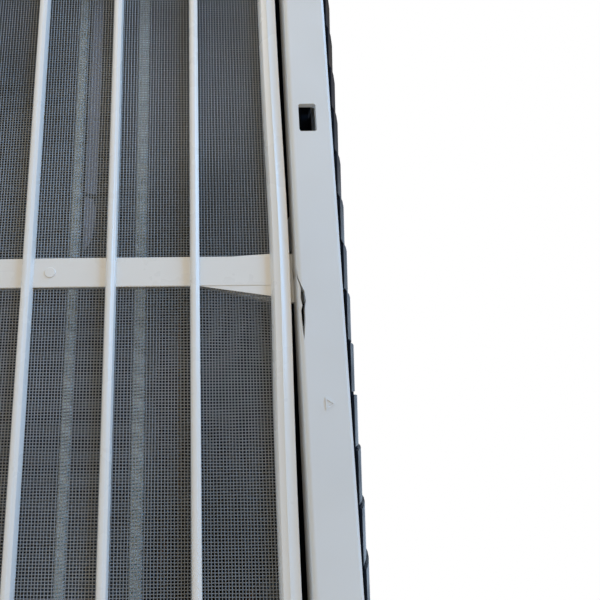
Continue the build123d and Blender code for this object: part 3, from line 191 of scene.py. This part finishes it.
def surface(name, low, high, rough, grain, bump_mm, metallic=0.0, stretch=(1, 1, 1), blotch=14.0, gloss=0.5):
    """A surface with slow colour changes, uneven roughness and a fine grain."""
    material, tree, shader = new_material(name)
    shader.inputs["Specular IOR Level"].default_value = gloss
    shader.inputs["Metallic"].default_value = metallic
    tree.links.new(ramp(tree, noise(tree, blotch), low, high), shader.inputs["Base Color"])
    rough_low = (rough[0],) * 3
    rough_high = (rough[1],) * 3
    tree.links.new(ramp(tree, noise(tree, blotch * 5), rough_low, rough_high), shader.inputs["Roughness"])
    bump(tree, shader, noise(tree, grain, 4.0, stretch), 0.4, bump_mm * MM)
    return material


CASING = surface("casing_white", (0.75, 0.745, 0.73), (0.80, 0.795, 0.78), (0.36, 0.5), 900, 0.02)
FILTER = surface("filter_white", (0.85, 0.82, 0.775), (0.865, 0.835, 0.79), (0.26, 0.31), 600, 0.008)
NET = surface("filter_net", (0.225, 0.235, 0.245), (0.335, 0.345, 0.355), (0.45, 0.6), 2500, 0.01)
GRILLE = surface(
    "grille_black", (0.008, 0.010, 0.016), (0.018, 0.022, 0.032), (0.5, 0.65), 700, 0.02, gloss=0.12,
)
CHASSIS = surface("chassis_grey", (0.50, 0.51, 0.50), (0.60, 0.61, 0.60), (0.45, 0.6), 500, 0.03)
PAN = surface("pan_grey", (0.42, 0.43, 0.43), (0.55, 0.56, 0.56), (0.45, 0.6), 500, 0.03)
# Aluminium fins given a dark blue-grey: partly the metal's own grey, partly painted shade for the little
# light that gets in between them.
FIN = surface("fin_aluminium", (0.10, 0.125, 0.15), (0.18, 0.21, 0.24), (0.4, 0.55), 900, 0.01, 0.4)
# Near-black colour for a block inside the coil: painted shade standing in for the darkness deep between the
# fins.
FIN_PAINTED_SHADE = surface("fin_painted_shade", (0.010, 0.014, 0.022), (0.025, 0.032, 0.045), (0.5, 0.7), 900, 0.01, 0.3)
# Near-white blue, non-metallic: real fin collars, brightened and tinted as a painted highlight for the
# window's glint on the fins.
COLLAR = surface("fin_collar", (0.78, 0.92, 0.98), (0.88, 0.98, 1.0), (0.35, 0.5), 900, 0.01, 0.0)
TAPE = surface("coil_tape", (0.25, 0.28, 0.37), (0.30, 0.33, 0.43), (0.5, 0.6), 400, 0.02)
COPPER = surface("copper", (0.55, 0.26, 0.15), (0.78, 0.44, 0.28), (0.25, 0.45), 400, 0.02, 1.0)
ZINC = surface("galvanised", (0.46, 0.48, 0.50), (0.68, 0.70, 0.72), (0.3, 0.5), 250, 0.02, 1.0, blotch=60)
STEEL = surface("steel", (0.5, 0.5, 0.5), (0.62, 0.62, 0.61), (0.25, 0.4), 900, 0.01, 1.0, (1, 30, 30))
FAN_PLASTIC = surface("fan_black", (0.02, 0.02, 0.022), (0.05, 0.05, 0.055), (0.4, 0.55), 800, 0.02)
MOTOR = surface("motor_steel", (0.5, 0.5, 0.48), (0.66, 0.66, 0.63), (0.3, 0.45), 600, 0.02, 0.8)
RUBBER = surface("rubber", (0.012, 0.012, 0.012), (0.03, 0.03, 0.03), (0.6, 0.8), 900, 0.04)
FOAM = surface("foam", (0.015, 0.015, 0.016), (0.05, 0.05, 0.052), (0.85, 0.98), 700, 0.25)
BOARD = surface("board_green", (0.02, 0.13, 0.045), (0.05, 0.22, 0.08), (0.3, 0.4), 1200, 0.02)
PARTS_BLACK = surface("component_black", (0.02, 0.02, 0.022), (0.06, 0.06, 0.065), (0.4, 0.5), 900, 0.02)
BRASS = surface("brass", (0.52, 0.36, 0.12), (0.72, 0.55, 0.22), (0.2, 0.35), 700, 0.01, 1.0)
SMOKED = surface("smoked_window", (0.01, 0.011, 0.012), (0.03, 0.032, 0.035), (0.05, 0.1), 300, 0.005)
VANE = surface("vane_white", (0.70, 0.72, 0.73), (0.78, 0.80, 0.81), (0.4, 0.55), 700, 0.02)
SLOT_MATERIALS = {
    "casing_white": CASING, "filter_white": FILTER, "filter_net": NET, "grille_black": GRILLE,
    "chassis_grey": CHASSIS, "pan_grey": PAN, "fin_aluminium": FIN, "copper": COPPER,
    "galvanised": ZINC, "steel": STEEL, "fan_black": FAN_PLASTIC, "motor_steel": MOTOR,
    "rubber": RUBBER, "foam": FOAM, "board_green": BOARD, "component_black": PARTS_BLACK,
    "brass": BRASS, "smoked_window": SMOKED, "vane_white": VANE,
}


def dress_nodes():
    """Gives every CAD node the material of its slot."""
    slots = {part["node"]: part["material_slot"] for part in frame["record"]["subparts"]}
    for node, obj in frame["nodes"].items():
        obj.data.materials.clear()
        obj.data.materials.append(SLOT_MATERIALS[slots[node]])


# ---- filters -------------------------------------------------------------------------------
# Profiles are (across, inset) pairs; across grows upwards, inset grows towards the wall.
RIB_PROFILE = (
    (-1.9, 4.6), (-1.85, 1.5), (-1.6, 0.75), (-1.2, 0.28), (-0.8, 0.08), (0.25, 0.0), (0.65, 0.14),
    (0.95, 0.45), (1.4, 0.55), (1.7, 0.75), (1.87, 1.3), (1.9, 4.6),
)
RAIL_PROFILE = (
    (-3.7, 4.6), (-3.65, 3.0), (-3.45, 2.0), (-3.1, 1.0), (-2.75, 0.5), (-0.75, 0.22), (-0.45, 0.0),
    (-0.15, 0.04), (0.2, 0.26), (2.6, 0.85), (2.95, 0.78), (3.3, 0.8), (3.55, 1.0), (3.7, 1.6), (3.7, 4.6),
)


def rail_lift(side, x):
    """How far the soft top rail bulges upwards at x."""
    reach = (x - centre_x(side) + 8.0) / 62.0
    return RAIL_BOW * math.exp(-reach * reach)


def long_bar(side, profile, z, lift=None, scale=1.0):
    """A bar along X with the given profile, following the filters' face."""
    low, high = FILTERS[side]
    rings = []
    steps = 48
    tilt = math.asin(max(0.0, BEND_Z - z) / BEND_RADIUS)
    for i in range(steps + 1):
        x = low[0] + 0.8 + (high[0] - low[0] - 1.6) * i / steps
        z_here = z + (lift(side, x) if lift else 0.0)
        ring = []
        for across, inset in profile:
            y = skin_y(0, z) + inset * math.cos(tilt) + across * scale * math.sin(tilt) * -1
            ring.append((x, y, z_here + across * scale * math.cos(tilt) + inset * math.sin(tilt)))
        rings.append(ring)
    return loft(rings)


def cross_strip(x_low, x_high, inset, thickness, z_low, z_high, edge=0.25):
    """A thin strip that runs up the filters' face, with eased edges."""
    rings = []
    steps = 28
    for i in range(steps + 1):
        z = z_low + (z_high - z_low) * i / steps
        front = skin_y(inset, z)
        back = skin_y(inset + thickness, z)
        rings.append([
            (x_low, back, z), (x_low, front + edge, z), (x_low + edge, front, z),
            (x_high - edge, front, z), (x_high, front + edge, z), (x_high, back, z),
        ])
    return loft(rings)


def disc(centre, radius, height, count=28):
    """A low stud that faces the front, with an eased rim."""
    x, y, z = centre
    rings = []
    for spread, depth in ((1.0, 0.4), (1.0, -height * 0.7), (0.93, -height), (0.5, -height * 1.12)):
        ring_radius = radius * spread
        ring = []
        for k in range(count):
            turn = 2 * math.pi * k / count
            ring.append((x + ring_radius * math.cos(turn), y + depth, z + ring_radius * math.sin(turn)))
        rings.append(ring)
    return loft(rings)


def flare(x_edge, reach, z_start, z_end):
    """Thin triangle that widens the centre strip towards the top rail."""
    rings = []
    for inset in (RIB_DEPTH - 0.8, RIB_DEPTH - 0.1):
        y = skin_y(inset, z_end)
        rings.append([(x_edge, y, z_start), (x_edge, y, z_end), (x_edge + reach, y, z_end)])
    return loft(rings)


STUD_Z = 18.1
STUD_RADIUS = 2.1
STUD_HEIGHT = 0.6
BOTTOM_RIB_Z = -57.5
BOTTOM_RIB_SCALE = 1.15
STRIP_FOOT_Z = -58.5
SIDE_FOOT_Z = -59.5
SIDE_WIDTH = 3.0
SIDE_INSET = 0.4
# Flares beside the centre strip: where each starts up the strip and how far it widens.
RIGHT_FLARE = (78.0, 4.6)
LEFT_FLARE = (90.0, -1.2)
# Pull tabs below the filters, as (reach to the front, thinning at each edge) pairs.
TAB_OFFSET = 80.0
TAB_HALF = 12.0
TAB_THICKNESS = 2.2
TAB_RINGS = ((0, 0.0), (6.5, 0.0), (8.3, 0.35), (9.2, 0.9))


def pull_tab(x):
    """A thin tab that stands out from the bottom rib, thinned towards its tip."""
    rings = []
    for reach, thin in TAB_RINGS:
        y = skin_y(2.0, BOTTOM_RIB_Z) - reach
        half = TAB_HALF - thin * 2
        top = BOTTOM_RIB_Z - thin
        bottom = BOTTOM_RIB_Z - TAB_THICKNESS + thin
        rings.append([(x - half, y, top), (x + half, y, top), (x + half, y, bottom), (x - half, y, bottom)])
    return loft(rings)


def make_filter_frame(side):
    """The filter's frame: soft top rail, ribs, cross strips, side walls, stud, flares and tabs."""
    low, high = FILTERS[side]
    middle = centre_x(side)
    rail_z = RAIL_TOP_Z - RAIL_WIDTH / 2
    strip_top = rail_z + 2
    shells = [
        long_bar(side, RAIL_PROFILE, rail_z, rail_lift),
        long_bar(side, RIB_PROFILE, BOTTOM_RIB_Z, scale=BOTTOM_RIB_SCALE),
    ]
    for i in range(RIB_COUNT):
        shells.append(long_bar(side, RIB_PROFILE, RIB_TOP_Z - i * RIB_PITCH))
    strip_inset = RIB_DEPTH - STRIP_THICKNESS
    half = STRIP_WIDTH / 2
    strips = (
        (middle - half, middle + half),
        (low[0], low[0] + END_STRIP_WIDTH),
        (high[0] - END_STRIP_WIDTH, high[0]),
    )
    for x_low, x_high in strips:
        shells.append(cross_strip(x_low, x_high, strip_inset, STRIP_THICKNESS, STRIP_FOOT_Z, strip_top))
    for x_low in (low[0], high[0] - SIDE_WIDTH):
        x_high = x_low + SIDE_WIDTH
        depth = RIB_DEPTH - SIDE_INSET
        shells.append(cross_strip(x_low, x_high, SIDE_INSET, depth, SIDE_FOOT_Z, strip_top, 0.6))
    shells.append(disc((middle, skin_y(strip_inset, STUD_Z), STUD_Z), STUD_RADIUS, STUD_HEIGHT))
    for x_edge, (z_start, reach) in ((middle + half, RIGHT_FLARE), (middle - half, LEFT_FLARE)):
        shells.append(flare(x_edge, reach, z_start, rail_z))
    for tab_x in (middle - TAB_OFFSET, middle + TAB_OFFSET):
        shells.append(pull_tab(tab_x))
    piece = make_piece(f"filter_tray_{side}", shells, f"filter_{side}", FILTER)
    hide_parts(f"filter_{side}_frame")


THREAD_PITCH_Z = 1.21
THREAD_PITCH_X = 1.13
THREAD_RADIUS = 0.18
THREAD_STEPS = 24
THREAD_SAG = 0.12
NET_BOTTOM = -58.6
NET_MARGIN = 2.0


def thread(centres, across):
    """A four-sided thread along its centres; across is its sideways direction in the net."""
    dx, dz = across
    rings = []
    for x, y, z in centres:
        rings.append([
            (x, y - THREAD_RADIUS, z), (x + dx * THREAD_RADIUS, y, z + dz * THREAD_RADIUS),
            (x, y + THREAD_RADIUS, z), (x - dx * THREAD_RADIUS, y, z - dz * THREAD_RADIUS),
        ])
    return loft(rings)


def make_net(side):
    """The woven net: threads along X in front of threads up the face, each a little wavy."""
    low, high = FILTERS[side]
    x_low, x_high = low[0] + NET_MARGIN, high[0] - NET_MARGIN
    z_low, z_high = NET_BOTTOM, RAIL_TOP_Z - 2.6
    inset = RIB_DEPTH + 0.2
    shells = []
    for i in range(int((z_high - z_low) / THREAD_PITCH_Z)):
        z = z_low + (i + 0.5) * THREAD_PITCH_Z
        y = skin_y(inset - 0.1, z)
        centres = []
        for k in range(THREAD_STEPS + 1):
            x = x_low + (x_high - x_low) * k / THREAD_STEPS
            centres.append((x, y, z + THREAD_SAG * math.sin(x * 0.043 + i * 0.7) * math.sin(i * 0.31)))
        shells.append(thread(centres, (0, 1)))
    for i in range(int((x_high - x_low) / THREAD_PITCH_X)):
        x = x_low + (i + 0.5) * THREAD_PITCH_X
        centres = []
        for k in range(THREAD_STEPS + 1):
            z = z_low + (z_high - z_low) * k / THREAD_STEPS
            sway = THREAD_SAG * math.sin(z * 0.09 + i * 0.5) * math.sin(i * 0.23)
            centres.append((x + sway, skin_y(inset + 0.1, z), z))
        shells.append(thread(centres, (1, 0)))
    piece = make_piece(f"net_weave_{side}", shells, f"filter_{side}", NET)
    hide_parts(f"filter_{side}_net")


# ---- coil fins -----------------------------------------------------------------------------
FIN_PITCH = 1.45
FIN_THICKNESS = 0.14
FIN_STAND = 2.2
COIL_LEFT = -361.8
COIL_RIGHT = 245.8
COIL_DEPTH = 26.0
SLABS = {
    "lower": ((-153.0, -47.0), (-153.0, 57.0)),
    "upper": ((-149.0, 70.0), (-106.0, 115.0)),
    "rear": ((-34.0, 40.0), (-76.0, 116.0)),
}
# Rows of collars on the lower slab, as (middle height, half height) pairs.
COLLARS = ((20.3, 2.3), (50.8, 2.8))
COLLAR_SECTIONS = ((-0.55, 0.75), (-0.4, 1.0), (0.4, 1.0), (0.55, 0.75))
COLLAR_STAND = 1.6
COLLAR_LEAN = 0.25
COLLAR_STEPS = 8
COLLAR_SHARP = 50.0
# The tape's two lengths, as (x, z) outlines.
TAPE_OUTLINES = (
    ((-60, 25.2), (68, 24.9), (68.5, 29.6), (45, 30.2), (-60, 30.0)),
    ((70, 24.6), (96, 25.2), (92, 28.0), (84, 29.4), (76, 29.8), (71, 28.4)),
)
TAPE_STAND = 0.6
TAPE_THICKNESS = 0.25


def slab_box(start, end, inset, x_low, x_high):
    """A slab's box from x_low to x_high, moved in by inset all round its section."""
    run = (end[0] - start[0], end[1] - start[1])
    length = math.hypot(*run)
    along = (run[0] / length, run[1] / length)
    across = (-along[1], along[0])
    section = []
    for end_sign, side_sign in ((-1, -1), (1, -1), (1, 1), (-1, 1)):
        reach = end_sign * (length / 2 - inset)
        side = side_sign * (COIL_DEPTH / 2 - inset)
        section.append((
            (start[0] + end[0]) / 2 + along[0] * reach + across[0] * side,
            (start[1] + end[1]) / 2 + along[1] * reach + across[1] * side,
        ))
    return loft([[(x, y, z) for y, z in section] for x in (x_low, x_high)])


def make_fins(slab):
    start, end = SLABS[slab]
    shells = []
    count = int((COIL_RIGHT - COIL_LEFT) / FIN_PITCH)
    for i in range(count):
        x = COIL_LEFT + (i + 0.5) * FIN_PITCH
        shells.append(slab_box(start, end, 0.05, x - FIN_THICKNESS / 2, x + FIN_THICKNESS / 2))
    piece = make_piece(f"fins_{slab}", shells, "root", FIN)
    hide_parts(f"coil_fins_{slab}")
    # A dark block fills each slab behind the fin fronts: painted shade for the depth between the fins, not a
    # part of the coil.
    shade_block = slab_box(start, end, FIN_STAND, COIL_LEFT, COIL_RIGHT)
    make_piece(f"painted_shade_backing_{slab}", [shade_block], "root", FIN_PAINTED_SHADE)


def make_collars():
    """Rows of raised fin collars that show as ribbed bands along the lower slab's face; their near-white blue
    colour is a painted highlight for the window's glint on them.
    """
    front = SLABS["lower"][0][0] - COIL_DEPTH / 2
    back = front + FIN_STAND
    shells = []
    for z_middle, half in COLLARS:
        for i in range(int((COIL_RIGHT - COIL_LEFT) / FIN_PITCH)):
            x = COIL_LEFT + (i + 0.5) * FIN_PITCH
            rings = []
            for x_side, shrink in COLLAR_SECTIONS:
                arc = []
                for k in range(COLLAR_STEPS + 1):
                    turn = math.pi * k / COLLAR_STEPS
                    depth = COLLAR_STAND * math.sin(turn) * shrink
                    x_here = x + x_side + COLLAR_LEAN * math.cos(turn)
                    arc.append((x_here, front + 0.9 - depth, z_middle - half * math.cos(turn)))
                ends = [(arc[-1][0], back, arc[-1][2]), (arc[0][0], back, arc[0][2])]
                rings.append(ends + arc)
            shells.append(loft(rings))
    make_piece("fin_collars", shells, "root", COLLAR, COLLAR_SHARP)


def make_tape():
    """Grey-blue tape stuck along the lower slab's face, in two lengths with a torn joint."""
    front = SLABS["lower"][0][0] - COIL_DEPTH / 2 - TAPE_STAND
    shells = []
    for outline in TAPE_OUTLINES:
        shells.append(loft([[(x, y, z) for x, z in outline] for y in (front, front + TAPE_THICKNESS)]))
    make_piece("coil_tape", shells, "root", TAPE)


# ---- stage, light and camera ---------------------------------------------------------------
FLOOR_HALF = 20.0
FLOOR_DROP = 0.28
FAR_GLOW = (0.42, 0.52, 0.64, 1)
GLOW_START = 1.6
GLOW_FULL = 6.0


def add_far_glow(material):
    """Beyond the reach of the lamps the floor glows faintly, so it stays pale up to the horizon."""
    tree = material.node_tree
    shader = tree.nodes["Principled BSDF"]
    distance = tree.nodes.new("ShaderNodeVectorMath")
    distance.operation = "LENGTH"
    coords = tree.nodes.new("ShaderNodeTexCoord")
    tree.links.new(coords.outputs["Object"], distance.inputs[0])
    glow = tree.nodes.new("ShaderNodeMapRange")
    glow.inputs["From Min"].default_value = GLOW_START
    glow.inputs["From Max"].default_value = GLOW_FULL
    tree.links.new(distance.outputs["Value"], glow.inputs["Value"])
    shader.inputs["Emission Color"].default_value = FAR_GLOW
    tree.links.new(glow.outputs["Result"], shader.inputs["Emission Strength"])


def make_stage():
    """A pale floor a little below the unit, which hangs on its wall plate."""
    floor_mesh = bpy.data.meshes.new("floor")
    z = CAD_BOX[0][2] - FLOOR_DROP
    corners = [(x * FLOOR_HALF, y * FLOOR_HALF, z) for x, y in ((-1, -1), (1, -1), (1, 1), (-1, 1))]
    floor_mesh.from_pydata(corners, [], [(0, 1, 2, 3)])
    floor = bpy.data.objects.new("floor", floor_mesh)
    bpy.context.scene.collection.objects.link(floor)
    material = surface("floor_pale", (0.76, 0.765, 0.75), (0.80, 0.805, 0.79), (0.8, 0.9), 60, 0.05, blotch=3)
    add_far_glow(material)
    floor_mesh.materials.append(material)


def area_light(name, place, target, size, power, colour):
    data = bpy.data.lights.new(name, "AREA")
    data.shape = "RECTANGLE"
    data.size, data.size_y = size
    data.energy = power
    data.color = colour
    light = bpy.data.objects.new(name, data)
    light.location = place
    aim = Vector(target) - Vector(place)
    light.rotation_euler = aim.to_track_quat("-Z", "Y").to_euler()
    bpy.context.scene.collection.objects.link(light)


ROOM_LIGHT = (0.60, 0.45, 0.235, 1)
ROOM_STRENGTH = 0.76
SKY_LIGHT = (0.22, 0.54, 1.0)
LAMP_LIGHT = (1.0, 0.84, 0.60)
REAR_LIGHT = (0.50, 0.72, 1.0)


def make_lights():
    """Warm light of the room from all round, a cool window above the far end, and a fill behind."""
    target = (0.1, -0.19, 0.05)
    area_light("window", (-0.45, -0.76, 1.06), target, (1.5, 0.30), 16.2, SKY_LIGHT)
    area_light("lamp", (-0.30, -0.58, -0.02), (-0.05, -0.19, 0.08), (0.25, 0.25), 0.45, LAMP_LIGHT)
    area_light("rear_fill", (0.4, 2.4, 1.9), (0, 0.1, -0.14), (3.2, 2.2), 75.0, REAR_LIGHT)
    world = bpy.data.worlds.new("studio")
    world.use_nodes = True
    tree = world.node_tree
    seen = tree.nodes["Background"]
    seen.inputs["Color"].default_value = (1, 1, 1, 1)
    seen.inputs["Strength"].default_value = 1.0
    unseen = tree.nodes.new("ShaderNodeBackground")
    unseen.inputs["Color"].default_value = ROOM_LIGHT
    unseen.inputs["Strength"].default_value = ROOM_STRENGTH
    rays = tree.nodes.new("ShaderNodeLightPath")
    mix = tree.nodes.new("ShaderNodeMixShader")
    tree.links.new(rays.outputs["Is Camera Ray"], mix.inputs["Fac"])
    tree.links.new(unseen.outputs["Background"], mix.inputs[1])
    tree.links.new(seen.outputs["Background"], mix.inputs[2])
    tree.links.new(mix.outputs["Shader"], tree.nodes["World Output"].inputs["Surface"])
    bpy.context.scene.world = world
    bpy.context.scene.view_settings.view_transform = "Standard"


VIEW_TILT = math.radians(11.0)
VIEW_ROLL = math.radians(0.55)
VIEW_DISTANCE = 0.180
VIEW_HEIGHT = 0.079
SENSOR = 36.0
FOCAL = 27.6
FRAME_SHIFT = 0.1617


def make_camera():
    """Close above the right filter's centre strip, with the unit's top to the picture's right."""
    aim = Vector(((centre_x("right") + 12.0) * MM, (FACE_Y + 2.0) * MM, VIEW_HEIGHT))
    forward = Vector((-math.sin(VIEW_TILT), math.cos(VIEW_TILT), 0))
    level_up = Vector((-math.cos(VIEW_TILT), -math.sin(VIEW_TILT), 0))
    level_right = Vector((0, 0, 1))
    right = level_right * math.cos(VIEW_ROLL) - level_up * math.sin(VIEW_ROLL)
    up = level_right * math.sin(VIEW_ROLL) + level_up * math.cos(VIEW_ROLL)
    data = bpy.data.cameras.new("camera")
    data.lens = FOCAL
    data.sensor_width = SENSOR
    data.shift_x = FRAME_SHIFT
    data.clip_start = 0.01
    camera = bpy.data.objects.new("camera", data)
    place = aim - forward * VIEW_DISTANCE
    matrix = camera.matrix_world.copy()
    for row in range(3):
        matrix[row][0] = right[row]
        matrix[row][1] = up[row]
        matrix[row][2] = -forward[row]
        matrix[row][3] = place[row]
    camera.matrix_world = matrix
    bpy.context.scene.collection.objects.link(camera)
    bpy.context.scene.camera = camera


dress_nodes()
for filter_side in SIDES:
    make_filter_frame(filter_side)
    make_net(filter_side)
for slab_name in SLABS:
    make_fins(slab_name)
make_collars()
make_tape()
make_stage()
make_lights()
make_camera()
